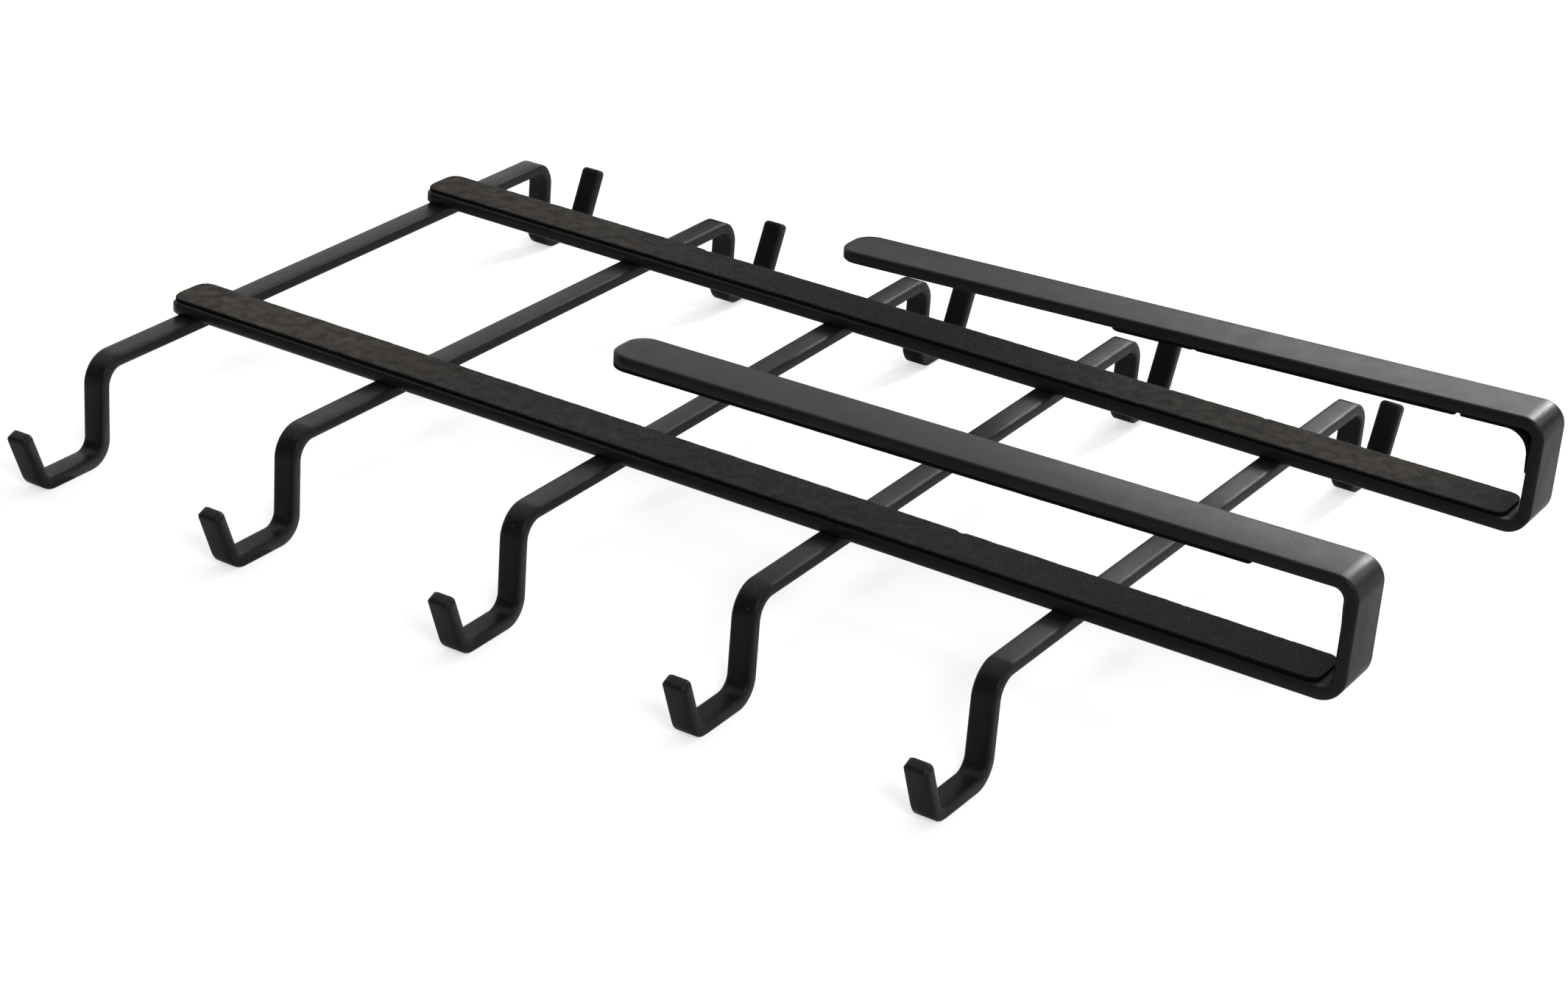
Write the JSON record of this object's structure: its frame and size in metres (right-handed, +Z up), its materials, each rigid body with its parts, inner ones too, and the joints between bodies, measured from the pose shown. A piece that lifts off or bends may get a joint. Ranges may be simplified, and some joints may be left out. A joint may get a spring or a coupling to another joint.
{
  "type": "under-cabinet cup hook rack",
  "caption": "Black steel rack that slides over a shelf board on two padded hairpin brackets, with welded cross rails bent into cup hooks at both ends.",
  "frame": {"origin": "below the middle of the rack, level with the undersides of the hooks' feet", "axes": "+X along the brackets to their closed end, +Y from the front bracket to the rear one along the rails, +Z up to the brackets' upper legs"},
  "size_m": [0.3105, 0.241, 0.0553],
  "materials": {
    "powder_coated_steel": "satin",
    "foam_pad": "matte"
  },
  "bodies": {
    "root": {"front_bracket": "powder_coated_steel", "rear_bracket": "powder_coated_steel", "hook_rail_1": "powder_coated_steel", "hook_rail_2": "powder_coated_steel", "hook_rail_3": "powder_coated_steel", "hook_rail_4": "powder_coated_steel", "hook_rail_5": "powder_coated_steel", "front_lower_pad": "foam_pad", "front_upper_pad": "foam_pad", "front_corner_pad": "foam_pad", "rear_lower_pad": "foam_pad", "rear_upper_pad": "foam_pad", "rear_corner_pad": "foam_pad"}
  },
  "joints": []
}
